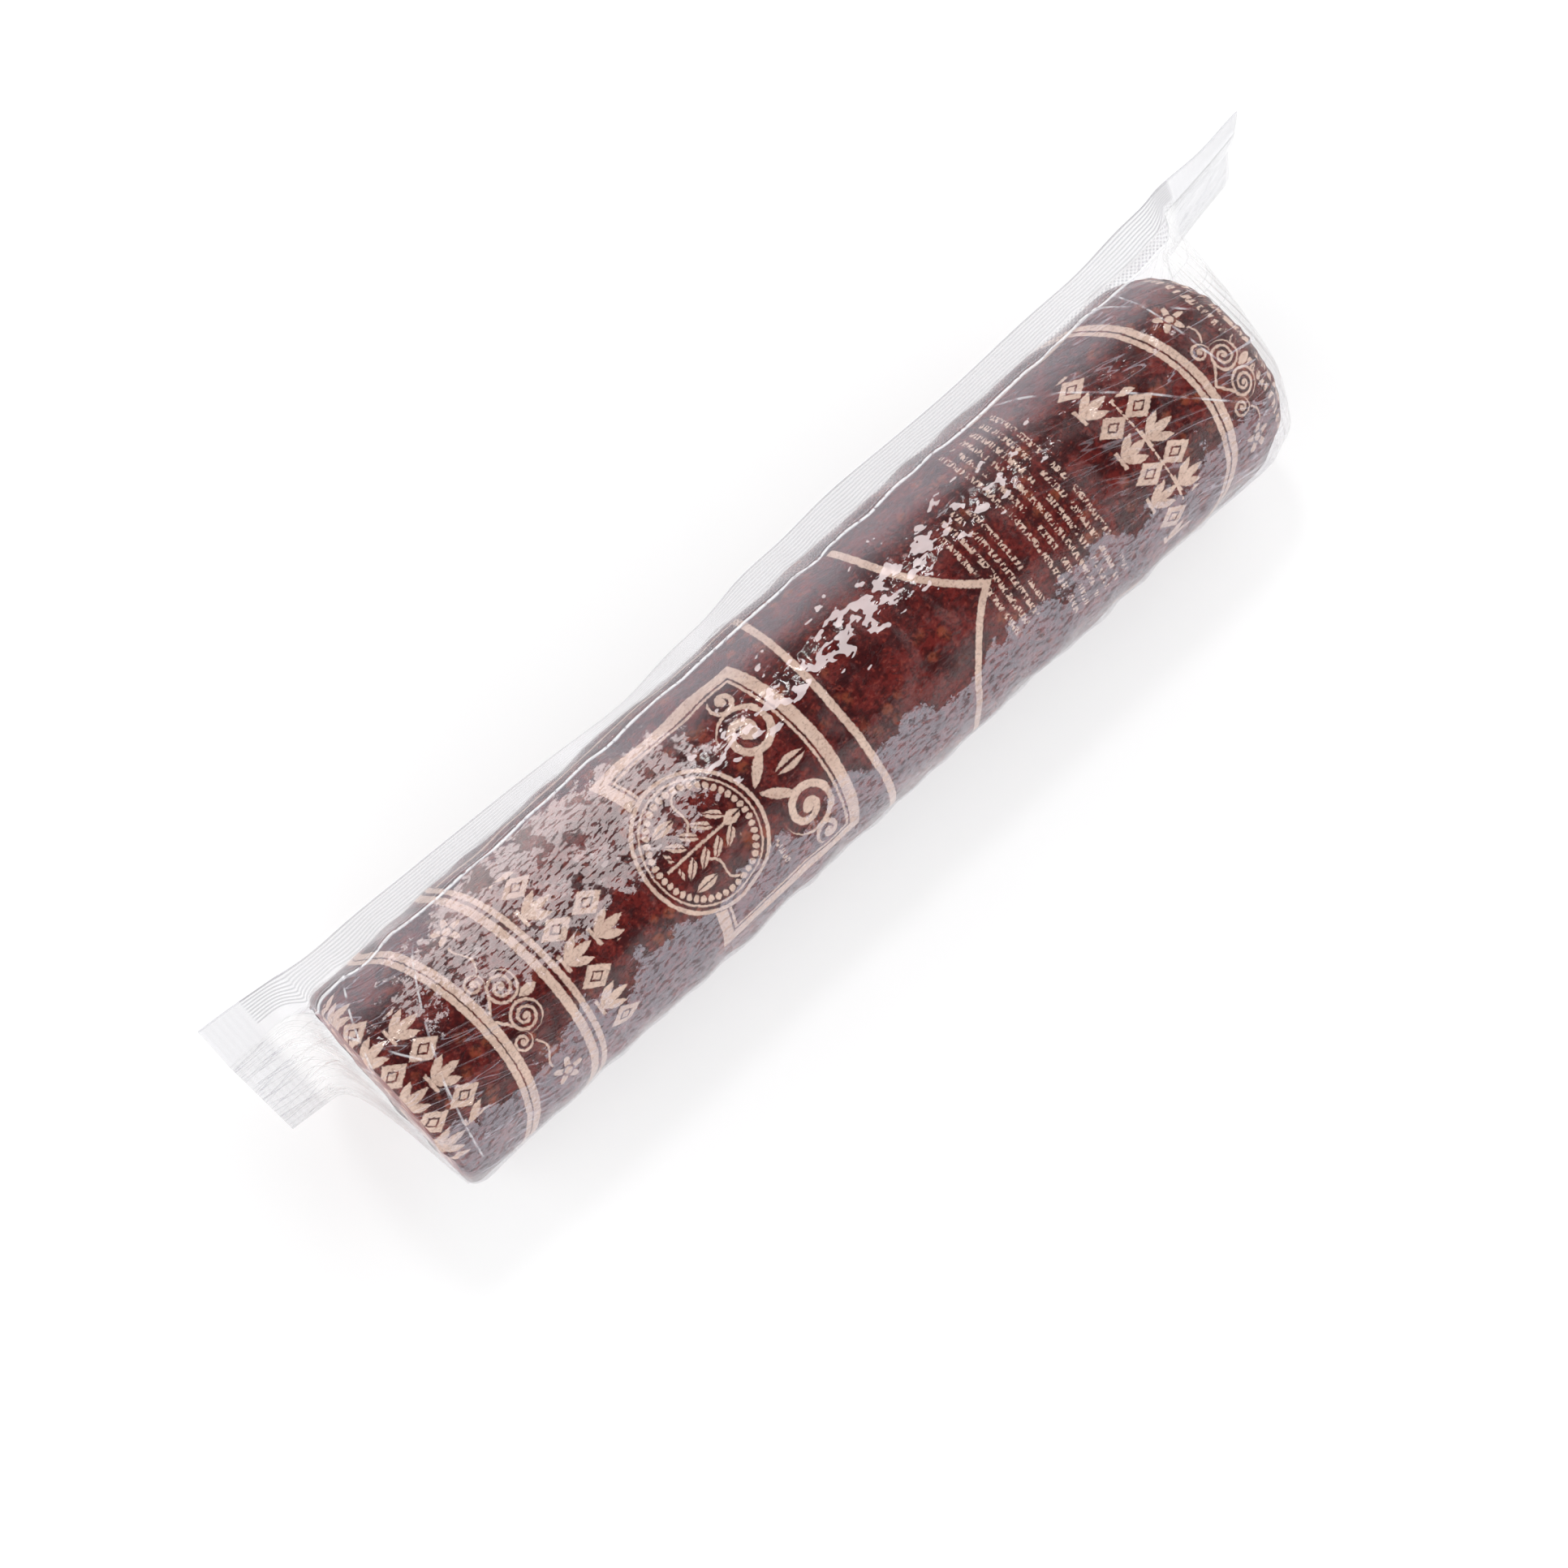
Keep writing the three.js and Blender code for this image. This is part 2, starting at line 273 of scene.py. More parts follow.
def casingPrint(x, p):
    # everything printed on the casing: x along the log and p round it from the top line, both in mm
    middle = printed["frontMiddle"]
    around = abs(p - middle)
    capped = around.low(printed["frontHalf"])
    sag = capped * capped
    art = None

    def add(mask):
        nonlocal art
        art = mask if art is None else art.high(mask)

    # double rings near both ends
    for centre, bend, lines in printed["rings"]:
        ringPlace = x - (sag * bend + centre)
        for place, half in lines:
            add(stroke(ringPlace - place, half))
    # single ring, and the thin lines along the log that join the rings into panels
    add(stroke(x + 3.0, 1.05) * fill(printed["frontHalf"] - around))
    add(stroke(around - 45.0, 0.5) * within(x, -104.0, -3.0))
    add(stroke(around - 39.5, 0.8) * within(x, 75.0, 114.0))
    # broken rings where the print runs into the pleats
    torn = x.vector(x * 0.25, p * 0.6).noise(1.0, 3.0, 0.6).step(0.48, 0.56)
    add((stroke(x - 138.6, 1.1).high(stroke(x - 142.4, 0.9))) * torn)
    # pointed arch
    fall = (around / -17.0).call("EXPONENT")
    arch = x - (fall * 24.0 + 23.0)
    add(stroke(arch / ((fall * fall * 1.99 + 1.0).call("SQRT")), 1.0) * fill(38.0 - around))

    # garland rows: outlined lozenges with a dot, and pairs of slanted leaves, turn about
    offset, rowMask = None, None
    for place, low, high in printed["rows"]:
        mask = (4.8 - abs(x - place)).low((p - low).low(high - p)).call("GREATER_THAN", 0.0)
        part = (x - place) * mask
        offset = part if offset is None else offset + part
        rowMask = mask if rowMask is None else rowMask + mask
    cell = p / printed["rowPitch"]
    whole = cell.call("FLOOR")
    q = abs((cell - whole - 0.5) * printed["rowPitch"])
    odd = (whole / 2.0).call("FRACT").call("GREATER_THAN", 0.25)
    lozenge = q / 3.1 + abs(offset) / 4.3
    motifOne = stroke((lozenge - 0.82) * 2.6, 0.78).high(fill((0.34 - lozenge) * 2.6))
    a, b = turn(offset + 0.6, q - 2.2, 30)
    motifTwo = leaf(a, b, 3.9, 1.15).high(leaf(offset - 0.4, q, 4.4, 1.25))
    motifTwo = motifTwo.high(stroke(offset + 4.1, 0.5) * fill(2.6 - q))
    add(rowMask * (motifOne + (motifTwo - motifOne) * odd))

    # scroll ornaments and leaf sprays between the double rings
    for placeX, placeP, earP, earX in printed["ornaments"]:
        sx, sp = x - placeX, abs(p - placeP)
        add(spiral(sx - 1.6, sp - 4.6, 1.75, 2.6, 0.38))
        add(spiral(sp - 9.2, sx + 2.9, 1.6, 1.7, 0.36))
        a, b = turn(sx + 4.4, sp - 1.6, 52)
        add(stroke(b, 0.36) * fill(4.4 - abs(a)))
        add(leaf(sx - 6.2, sp - 0.1, 2.6, 1.2))
        vine = sx - (sp * 0.55).call("SINE") * 1.1
        add(stroke(vine, 0.3) * within(sp, 11.0, earP - 4.5))
        ex, ep = sx - earX, sp - earP
        radius = (ex * ex + ep * ep).call("SQRT")
        angle = ep.call("ARCTAN2", ex)
        petal = (angle * 5.0).call("COSINE")
        add(fill(petal * 1.5 + 2.9 - radius) * (1.0 - stroke(radius - 1.5, 0.3)))

    # label panel: a thick band and a thin line inside it
    side = (31.0 - around).low((-10.0 - 0.0045 * sag) - x).low(x + 57.0 + 0.004 * sag)
    panel = within(side, 0.0, 3.2).high(within(side, 3.8, 4.55))
    # oval with a sprig over the panel's far side
    ovalX, ovalP, halfX, halfP = printed["oval"]
    ox, op = x - ovalX, p - ovalP
    oval = (1.0 - ((ox / halfX) ** 2.0 + (op / halfP) ** 2.0).call("SQRT")) * ((halfX + halfP) / 2)
    panel = panel * (1.0 - fill(oval))
    picture = within(oval, 0.2, 1.3).high(stroke(oval - 2.6, 0.28))
    beads = (op.call("ARCTAN2", ox) * (44 / (2 * np.pi))).call("FRACT") - 0.5
    picture = picture.high(fill(0.95 - ((beads * 2.4) ** 2.0 + (oval - 4.4) ** 2.0).call("SQRT")))
    step = (ox / 4.2).call("FRACT") * 4.2
    a, b = turn(step - 2.6, abs(op) - 3.2, -42)
    sprig = leaf(a, b, 3.4, 1.1) * (1.0 - stroke(b, 0.18)) * within(ox, -9.5, 8.8)
    sprig = sprig.high(stroke(op, 0.4) * within(ox, -11.5, 9.5))
    a, b = turn(ox - 0.5, abs(op) - 9.0, 62)
    sprig = sprig.high(stroke(((a * 0.55).call("SINE") * 1.3 - b), 0.36) * fill(5.0 - abs(a)))
    sprig = sprig.high(leaf(ox + 5.4, abs(op) - 8.8, 3.6, 1.5) * (1.0 - stroke(abs(op) - 8.8, 0.2)))
    sprig = sprig.high(leaf(ox - 9.6, op, 2.9, 1.7) * (1.0 - stroke(op, 0.3)))
    picture = picture.high(sprig * fill(oval - 5.2))
    add(panel.high(picture))
    # big flourish in the panel
    fx, fp = x + 24.0, abs(p - middle)
    inPanel = fill(side - 5.6) * fill(-oval - 1.2)
    flourish = spiral(fx - 0.5, fp - 12.5, 4.4, 1.75, 1.05)
    flourish = flourish.high(spiral(fp - 23.0, fx - 1.5, 3.0, 1.3, 0.7))
    a, b = turn(fx + 3.5, fp - 4.2, 40)
    flourish = flourish.high(leaf(a, b, 5.6, 1.35)).high(leaf(fx - 3.6, fp, 5.0, 1.9) * (1.0 - stroke(fp, 0.4)))
    add(flourish * inPanel)

    # small print: rows of unreadable flecks, with gaps between the words
    lineBlock = within(x, -36.5, -33.2) * within(p, 4.0, 34.0) * fill(-oval - 1.5)
    for fromX, toX, fromP, toP in printed["smallPrint"]:
        lineBlock = lineBlock.high(within(x, fromX, toX) * within(p, fromP, toP))
    lineCount, pitch = (x - printed["lineStart"]) / printed["linePitch"], printed["linePitch"]
    lines = stroke(lineCount.call("FRACT") * pitch - pitch / 2, printed["lineHalf"])
    fine = x.vector(x * 0.62, p * 1.35)
    flecks = fine.noise(1.0, 1.0).step(0.49, 0.53)
    words = x.vector(lineCount.call("FLOOR") * 7.3, p * 0.19).noise(1.0, 0.0).step(0.36, 0.4)
    add(lineBlock * lines * flecks * words)
    return art


def casingMaterial():
    # meat shade seen through the casing, with ink over it where the print is 1, worn away in places
    made, wire = newMaterial("printedCasing", rgb(0.16, 0.03, 0.025))
    u, v, _ = wire.node("ShaderNodeUVMap", {"uv_map": "wrap"}).split()
    x, p = u * 1000.0, v * 1000.0
    place = wire.node("ShaderNodeTexCoord", None, None, 3)
    rough = place.noise(900.0, 2.0)
    rough2 = place.noise(1500.0, 1.0)
    ink = casingPrint(x + (rough - 0.5) * 0.75, p + (rough2 - 0.5) * 0.75)
    # meat through the casing: dark red, with lighter lean and orange fat pieces pressed against it
    warped = place.noise(140.0, 3.0, 0.6)
    chunks = warped.step(0.40, 0.60)
    fatty = place.cells(210.0).step(0.42, 0.22) * place.noise(75.0, 1.0).step(0.46, 0.62)
    meatShade = chunks.blend(rgb(0.050, 0.0055, 0.0062), rgb(0.128, 0.0145, 0.0125))
    meatShade = (fatty * 0.65).blend(meatShade, rgb(0.26, 0.062, 0.028))
    dark = place.noise(420.0, 3.0, 0.7).step(0.54, 0.68)
    meatShade = (dark * 0.6).blend(meatShade, rgb(0.026, 0.0035, 0.0045))
    specks = place.noise(820.0, 1.0, 0.6)
    meatShade = (specks.step(0.52, 0.64) * 0.6).blend(meatShade, rgb(0.022, 0.003, 0.004))
    meatShade = (specks.step(0.42, 0.30) * 0.45).blend(meatShade, rgb(0.27, 0.05, 0.035))
    worn = place.noise(1300.0, 2.0).step(0.30, 0.5) * (1.0 - place.noise(320.0, 2.0).step(0.62, 0.72) * 0.5)
    inkShade = place.noise(220.0, 3.0).blend(rgb(0.52, 0.345, 0.27), rgb(0.75, 0.57, 0.48))
    cover = ink * (worn * 0.30 + 0.68)
    colour = cover.blend(meatShade, inkShade)
    fibres = wire.vector(x * 2.4, p * 0.5).noise(1.0, 3.0, 0.65)
    creases = abs(wire.vector(x * 0.11 + p * 0.03, p * 0.33).noise(1.0, 3.0, 0.6) - 0.5).step(0.03, 0.0)
    pebbles = place.cells(320.0, "SMOOTH_F1")
    height = fibres * 0.25 + pebbles * 0.5 - creases * 0.35
    bumped = height.bump(0.00035, 0.85)
    gloss = 0.30 + ink * 0.16 + (place.noise(260.0, 3.0) - 0.5) * 0.25
    shader = wire.node("ShaderNodeBsdfPrincipled", None, {
        "Base Color": colour, "Roughness": gloss, "Normal": bumped, "IOR": 1.45,
        "Specular IOR Level": 0.2,
    })
    finishMaterial(wire, shader)
    return made


def meatMaterial():
    # fat where large or small cells are near their centres, and lean shades between
    made, wire = newMaterial("saltedMeat", rgb(0.3, 0.05, 0.04))
    place = wire.node("ShaderNodeTexCoord", None, None, 3)
    stir = place.noise(300.0, 2.0, 0.5, 1)
    bent = wire.node("ShaderNodeMix", {"data_type": "VECTOR"}, {0: 0.004, 4: place, 5: stir}, 1)
    bigFat = bent.cells(170.0, "F1").step(0.36, 0.27) * bent.cells(170.0, "F1", 1).split()[0].step(0.34, 0.4)
    smallFat = bent.cells(430.0, "F1").step(0.34, 0.24) * bent.cells(430.0, "F1", 1).split()[1].step(0.45, 0.5)
    fat = bigFat.high(smallFat)
    lean = place.noise(260.0, 4.0, 0.6).blend(rgb(0.085, 0.009, 0.009), rgb(0.30, 0.045, 0.035))
    fatShade = place.noise(500.0, 2.0).blend(rgb(0.50, 0.25, 0.19), rgb(0.76, 0.55, 0.44))
    colour = fat.blend(lean, fatShade)
    pits = place.noise(900.0, 3.0).step(0.62, 0.7)
    height = fat * 0.5 + place.noise(650.0, 3.0) * 0.6 - pits * 0.6
    shader = wire.node("ShaderNodeBsdfPrincipled", None, {
        "Base Color": colour, "Roughness": 0.36 + fat * 0.1, "Normal": height.bump(0.0003, 0.8),
    })
    finishMaterial(wire, shader)
    return made


def clipMaterial():
    # bare aluminium with brushed noise and shallow dents
    made, wire = newMaterial("clipAluminium", rgb(0.75, 0.75, 0.76))
    place = wire.node("ShaderNodeTexCoord", None, None, 3)
    brushed = place.noise(2600.0, 3.0, 0.7)
    dents = place.noise(520.0, 2.0)
    shade = brushed.blend(rgb(0.62, 0.62, 0.63), rgb(0.83, 0.83, 0.84))
    shader = wire.node("ShaderNodeBsdfPrincipled", None, {
        "Base Color": shade, "Metallic": 1.0, "Roughness": 0.24 + brushed * 0.2,
        "Normal": (dents + brushed * 0.15).bump(0.0003, 0.8),
    })
    finishMaterial(wire, shader)
    return made


filmLook = {
    "mirror": 0.014, "grazing": 0.45,            # clear film's reflection, straight on and edge on
    "veilAndGlare": 0.125, "thin": 0.42,                 # haze of the loose patches, and all over the far side; partly a painted reflection of the bright surroundings, and the patches also take the painted highlights along the top
    # pale lines on the folds and along the fin's root: painted highlights, with the folds' whitened film as well
    "crease": 0.16, "foldLine": 0.3, "rootHighlight": 0.55,
    "relief": 0.0009,                            # depth of the fine dents, in metres
}
film = {
    "radius": 31.75,         # of the film's outside, before the lumps
    "wall": 0.16,
    "rootAngle": 38.0,       # where the fin leaves the tube, above +Y
    "finWidth": 12.0, "finRibs": 9, "finHalf": 0.16,
    "tubeColumns": 150, "rows": 300, "innerRows": 100,
}
filmTop = film["radius"] * np.radians(90 - film["rootAngle"])   # way round from the fin's root to the top line


# folds drawn tight across the film near both ends: from and to, along the log and round from its top line
creases = [
    (82, -28, 133, 25), (117, -36, 136, -4), (127, -30, 131, 12),
    (-118, -20, -138, 19), (-131, -38, -148, 5), (-146, -14, -134, 8), (-134, 8, -140, 40),
]


def creaseParts(x, p, fold):  # place along a fold from 0 to 1, and distance to its side
    x0, p0, x1, p1 = fold
    length = float(np.hypot(x1 - x0, p1 - p0))
    ux, up = (x1 - x0) / length, (p1 - p0) / length
    along = ((x - x0) * ux + (p - p0) * up) / length
    bow = (along - 0.5) * (along - 0.5) * 5.0
    return along, (p - p0) * ux - (x - x0) * up + bow - 1.25


def creaseLines(x, p):
    # 1 on the thin line of each fold, uneven along its length: where the fold's whitened film and a painted
    # highlight go
    uneven = x.vector(x, p).noise(0.22, 2.0).step(0.36, 0.62)
    line = None
    for fold in creases:
        along, side = creaseParts(x, p, fold)
        one = abs(side).step(0.42, 0.12) * along.step(-0.02, 0.12) * along.step(1.02, 0.85)
        line = one if line is None else line.high(one)
    return line * uneven


def filmMaterial():
    # what shows is mirror + haze, with painted reflections, highlights and shade among the haze; the rest is
    # clear, and mirror / (mirror + haze) is how metallic it is
    made, wire = newMaterial("clearWrap", (0.85, 0.83, 0.88, 0.35))
    u, v, _ = wire.node("ShaderNodeUVMap", {"uv_map": "wrap"}).split()
    x, way = u * 1000.0, v * 1000.0
    p = way - float(filmTop)
    onFin = way.call("LESS_THAN", 0.0)
    onTube = 1.0 - onFin
    across = way * -1.0
    facing = wire.node("ShaderNodeLayerWeight", None, {"Blend": 0.5}, 1)
    mirror = filmLook["mirror"] + facing ** 5.0 * filmLook["grazing"]
    flat = wire.vector(x, p)
    # loose patches where the film stands off the casing, with torn-looking edges and dark flecks where it
    # touches; along the whole lower side and on the upper left they are partly a painted reflection of the bright
    # surroundings
    broad = flat.noise(0.045, 2.0, 0.5) - 0.5
    ragged = flat.noise(0.26, 4.0, 0.68) - 0.5
    lowSide = (p - 25.0 + broad * 34.0 + ragged * 15.0).step(0.0, 0.8) * p.step(104.0, 92.0)
    leftTop = 1.0 - ((x + 82.0) / 52.0) ** 2.0 - ((p + 8.0) / 18.0) ** 2.0 + broad * 1.6 + ragged * 2.6
    # painted highlight: pale blotches along the top line, where the lamp's reflection breaks up on the dented
    # film
    glareBlots = wire.vector(x * 0.15 + p * 0.10, p * 0.25 - x * 0.05).noise(1.0, 2.0, 0.62) - 0.5
    topGlareRun = 0.08 - abs(p + 4.0 + (x - 10.0) * 0.06) / 8.0 - ((x - 16.0) / 72.0) ** 2.0 + glareBlots * 8.5
    behind = broad * 2.0 + ragged * 1.6 - 0.12 + p.step(-30.0, -60.0) * 0.2 - p.step(-60.0, -30.0) * 2.0
    touch = wire.vector(x * 0.34, p * 0.95 + x * 0.05).noise(1.0, 2.0, 0.6)
    flecks = 1.0 - touch.step(0.54, 0.56) * 0.95
    holes = flat.noise(0.12, 3.0, 0.62).step(0.57, 0.60)
    leftPatch, topGlare = leftTop.step(0.0, 0.14), topGlareRun.step(0.0, 0.12)
    veilAndGlare = lowSide.high(leftPatch * (1.0 - holes * 0.9) * 1.9).high(behind.step(0.0, 0.3) * 0.8) * flecks
    veilAndGlare = veilAndGlare * (0.82 + ragged * 0.5)
    veilAndGlare = veilAndGlare.high(topGlare * 2.7)
    # thin haze over the far side and the lower side, partly a painted reflection of the bright surroundings
    thin = p.step(-6.0, -22.0) * 0.22 + lowSide * 0.10
    # tension creases, long near the round end and V-shaped near the cut end, shown as pale lines that are partly
    # whitened film and partly a painted highlight
    slant = wire.vector(x * 0.020 + p * 0.012, p * 0.16 - x * 0.05)
    creaseNoise = abs(slant.noise(1.0, 2.0, 0.5) - 0.5)
    nearEnds = x.step(60.0, 128.0).high(x.step(-88.0, -140.0))
    crease = creaseNoise.step(0.010, 0.0) * nearEnds
    # fin: welded ribs outside, a knurled band beside the root
    ribs = (across * (2 * np.pi * film["finRibs"] / 9.0)).call("SINE") * 0.5 + 0.5
    knurl = ((x * 4.2).call("SINE") * (across * 4.6).call("SINE")) * 0.5 + 0.5
    knurl = knurl.high(x.step(0.0, -60.0) * 0.8)
    ribBand = across.step(2.8, 3.2)
    tails = x.step(156.0, 160.0).high(x.step(-157.0, -160.0))
    finPattern = (knurl + (ribs - knurl) * ribBand).high(tails * 0.9)
    # painted shade: more haze along the rib lines and at the fin's outer edge, coloured dark grey below
    finHazeAndShade = 0.10 + finPattern.step(0.55, 0.15) * 0.19 + across.step(11.3, 11.8) * 0.15
    # painted highlight: a broken white line where the fin leaves the tube
    rootHighlight = (way.step(1.9, 0.9) * onTube) * (flat.noise(0.5, 3.0, 0.7).step(0.36, 0.46))
    gathered = x.step(128.0, 152.0).high(x.step(-146.5, -150.0))
    # painted highlights: bright squiggles on the crumpled film where it gathers at both ends
    crumpleGlints = creaseNoise.step(0.014, 0.002) * gathered
    pouchHazeAndGlints = gathered * (0.01 + (ragged + 0.5) * 0.03) + crumpleGlints * 0.14
    seal = (x * 3.6).call("SINE") * 0.5 + 0.5
    tailHaze = tails * (0.042 + seal * 0.012)
    line = creaseLines(x, p)
    hazeAndPaintedLight = (veilAndGlare * filmLook["veilAndGlare"] + thin * filmLook["thin"]) * onTube * (1.0 - gathered)
    hazeAndPaintedLight = hazeAndPaintedLight + (crease * filmLook["crease"]).high(line * filmLook["foldLine"]) * onTube
    hazeAndPaintedLight = hazeAndPaintedLight + finHazeAndShade * onFin + rootHighlight * filmLook["rootHighlight"] + pouchHazeAndGlints * onTube + tailHaze
    factor = (mirror + hazeAndPaintedLight).clamp()
    shine = (mirror / factor).clamp()
    # dimples that follow the casing's lumps, fine wrinkles, creases and ribs
    dimples = flat.noise(0.17, 1.0, 0.4)
    wrinkles = wire.vector(x * 0.22 + p * 0.04, p * 0.6).noise(1.0, 2.0, 0.5)
    height = (dimples * 0.95 + wrinkles * 0.2 + creaseNoise.step(0.05, 0.0) * nearEnds * 0.4) * onTube
    height = height + finPattern * onFin * 0.3
    height = height + tails * seal * 0.04
    bumped = height.bump(filmLook["relief"])
    # pale where the film gathers, and on the painted highlights of the fold lines and the fin's root
    pale = gathered.high(line).high(rootHighlight)
    # painted shade: the fin's haze is grey, dark grey on the rib lines, and the tails' haze is grey too, darker
    # than the film's own white
    ribShade = finPattern.blend(rgb(0.31, 0.30, 0.35), rgb(0.68, 0.66, 0.72))
    ribShade = tails.blend(ribShade, rgb(0.55, 0.55, 0.61))
    # lavender haze, pinkish white on the left patches and on the painted highlights along the top
    hazeAndPaintedLightColour = leftPatch.high(topGlare).blend(rgb(0.72, 0.69, 0.78), rgb(0.98, 0.84, 0.84))
    hazeAndPaintedLightColour = pale.blend(hazeAndPaintedLightColour, rgb(0.93, 0.93, 0.95))
    hazeAndPaintedLightColour = tails.blend(hazeAndPaintedLightColour, rgb(0.55, 0.55, 0.61))
    hazeAndPaintedLightColour = onFin.blend(hazeAndPaintedLightColour, ribShade)
    colour = shine.blend(hazeAndPaintedLightColour, rgb(1.0, 1.0, 1.0))
    surface = wire.node("ShaderNodeBsdfPrincipled", None, {
        "Base Color": colour, "Metallic": shine, "Roughness": 0.05 + (1.0 - shine) * 0.2,
        "Normal": bumped, "IOR": 1.5,
    })
    clear = wire.node("ShaderNodeBsdfTransparent")
    sheet = wire.node("ShaderNodeMixShader", None, {0: factor, 1: clear, 2: surface})
    # light from the lamps passes straight through
    fromLamp = wire.node("ShaderNodeLightPath", None, None, "Is Shadow Ray")
    finishMaterial(wire, wire.node("ShaderNodeMixShader", None, {0: fromLamp, 1: sheet, 2: clear}))
    return made


casing = {
    "wall": 0.4, "domeLength": 26.0, "rim": 13.0, "dimple": 5.0, "dimpleDepth": 7.0,
    "around": 2.4, "alongPower": 2.6,            # the dome's own roundness, across and along
    "neckRadius": 3.0, "tuftRadius": 5.0,
    "edgeLength": 3.6, "edgeDrop": 2.2,
    "columns": 216, "lumps": 0.30, "pressed": 0.8, "pleats": 29,
}


def domeProfile(inset, count):
    # r = rim + (R - rim) cos^(2/2.6), x = shoulder + length sin^(2/2.4), from the side to the rim
    t = np.linspace(0, np.pi / 2, count)
    height = casingRadius - casing["rim"] - inset
    r = casing["rim"] + height * np.clip(np.cos(t), 0, 1) ** (2 / casing["alongPower"])
    x = tipX - casing["domeLength"] + (casing["domeLength"] - inset) * np.sin(t) ** (2 / casing["around"])
    return np.stack([x, r], -1)


def dimpleProfile(inset, count):
    # r = rim - depth sin, x = tip - 7 (1 - cos), from the rim to the floor
    t = np.linspace(0, np.pi / 2, count)
    r = casing["rim"] - (casing["dimple"] - inset) * np.sin(t)
    x = tipX - inset - casing["dimpleDepth"] * (1 - np.cos(t))
    return np.stack([x, r], -1)


def roundedBy(x):  # how far the radius has fallen where the casing rolls over the cut edge: a quarter ellipse
    t = np.clip(1 - (x - cutX) / casing["edgeLength"], 0, 1)
    return casing["edgeDrop"] * (1 - np.sqrt(1 - t * t))


def sideProfile(inset, count):
    # r = R - inset - what the rolled edge takes, with rings crowded at the cut
    near = casing["edgeLength"] * np.array([0, 0.02, 0.08, 0.18, 0.32, 0.50, 0.72])
    straight = np.linspace(cutX + casing["edgeLength"], tipX - casing["domeLength"], count - len(near))
    x = np.concatenate([cutX + near, straight])
    return np.stack([x, casingRadius - inset - roundedBy(x)], -1)


def lumpsAt(x, angle):  # size times the sum of short waves and long waves
    return casing["lumps"] * (0.7 * ripple(x, angle, 11, 30, 5) + 0.55 * ripple(x, angle, 30, 90, 6, 30))


def pleatsAt(angle, x):
    # sharp folds that gather toward the tip: 1 in a fold, 0 on the crown between two
    wander = 0.8 * ripple(x, angle, 40, 120, 8, 20) + 1.2 * np.sin(3 * angle + 1)
    return np.abs(np.sin(casing["pleats"] / 2 * angle + wander)) ** 0.7


def pressFlat(points, r, low):
    # the underside is pressed flat: no point lies under a floor that follows its ring's radius
    share = np.clip((r - casing["rim"]) / (casingRadius - 0.7 - casing["rim"]), 0, 1) ** 4
    floorHeight = axisHeight - r + casing["pressed"] * share
    points[..., 2] = np.maximum(points[..., 2], np.maximum(floorHeight, low))


def buildCasing():
    # r = profile + lumps - pleats, carried round the axis: tuft, neck, dimple, dome, side, then back inside
    floorX = tipX - casing["dimpleDepth"]
    neck = casing["neckRadius"]
    outer = np.concatenate([
        [[tipX - 0.1, 1.5], [tipX, 3.6], [tipX - 0.5, 4.7], [tipX - 1.3, casing["tuftRadius"]]],
        [[tipX - 2.0, 4.2], [tipX - 2.6, neck], [floorX + 2.6, neck]],
        [[floorX + 0.9, neck + 0.1], [floorX + 0.15, neck + 0.9], [floorX, 5.4]],
        dimpleProfile(0, 12)[::-1], domeProfile(0, 46)[::-1][1:], sideProfile(0, 232)[::-1][1:],
    ])
    w = casing["wall"]
    inner = np.concatenate([
        sideProfile(w, 56), domeProfile(w, 18)[1:], dimpleProfile(w, 7)[1:],
        [[floorX - w, 3.0], [floorX - w, 1.0]],
    ])
    profile = np.concatenate([outer, inner])
    columns = casing["columns"]
    angle = np.linspace(-np.pi / 2, 1.5 * np.pi, columns + 1)       # the seam is underneath
    x, r = profile[:, :1], profile[:, 1:]
    a = angle[None, :-1]
    isOuter = (np.arange(len(profile)) < len(outer))[:, None]
    body = np.clip((r - 8) / 14, 0, 1) * np.clip((x - cutX) / 6 + 0.35, 0, 1)
    bumps = lumpsAt(x, a) * body
    folding = smooth(x, 108, 141) * np.clip((casingRadius + 6 - r) / 14, 0.12, 1) * isOuter
    onNeck = ((r < 6) & (x > floorX + 0.05)) * isOuter
    deep = 1.25 * folding * (1 - onNeck) * np.clip((r - 5) / 6, 0, 1) + onNeck * (0.55 + 0.9 * (x > tipX - 2.2))
    ripples = r + bumps - deep * pleatsAt(a, x * (1 - onNeck)) * np.where(onNeck, 0.45, 1)
    cutEdge = 0.35 * ripple(np.zeros_like(x), a, 10, 60, 12, 24) * (np.abs(x - cutX) < 0.01)
    along = np.broadcast_to(x + cutEdge, ripples.shape) + 0.25 * folding * np.cos(9 * a + 2)
    points = np.stack([along, ripples * np.cos(a), axisHeight + ripples * np.sin(a)], -1)
    pressFlat(points, r + 0 * a, 0.0)
    poles = [[tipX - 0.4, 0, axisHeight], [floorX - w, 0, axisHeight]]
    piece = turnedSkin("casing_skin", points, poles, profile[:, 0], casingRadius * (angle - np.pi / 2))
    piece.data.materials.append(casingMaterial())
    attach(piece, "root")
    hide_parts("casing")
    return piece


meat = {"inset": 0.75, "columns": 150, "grain": 0.16, "knifeMarks": 40}


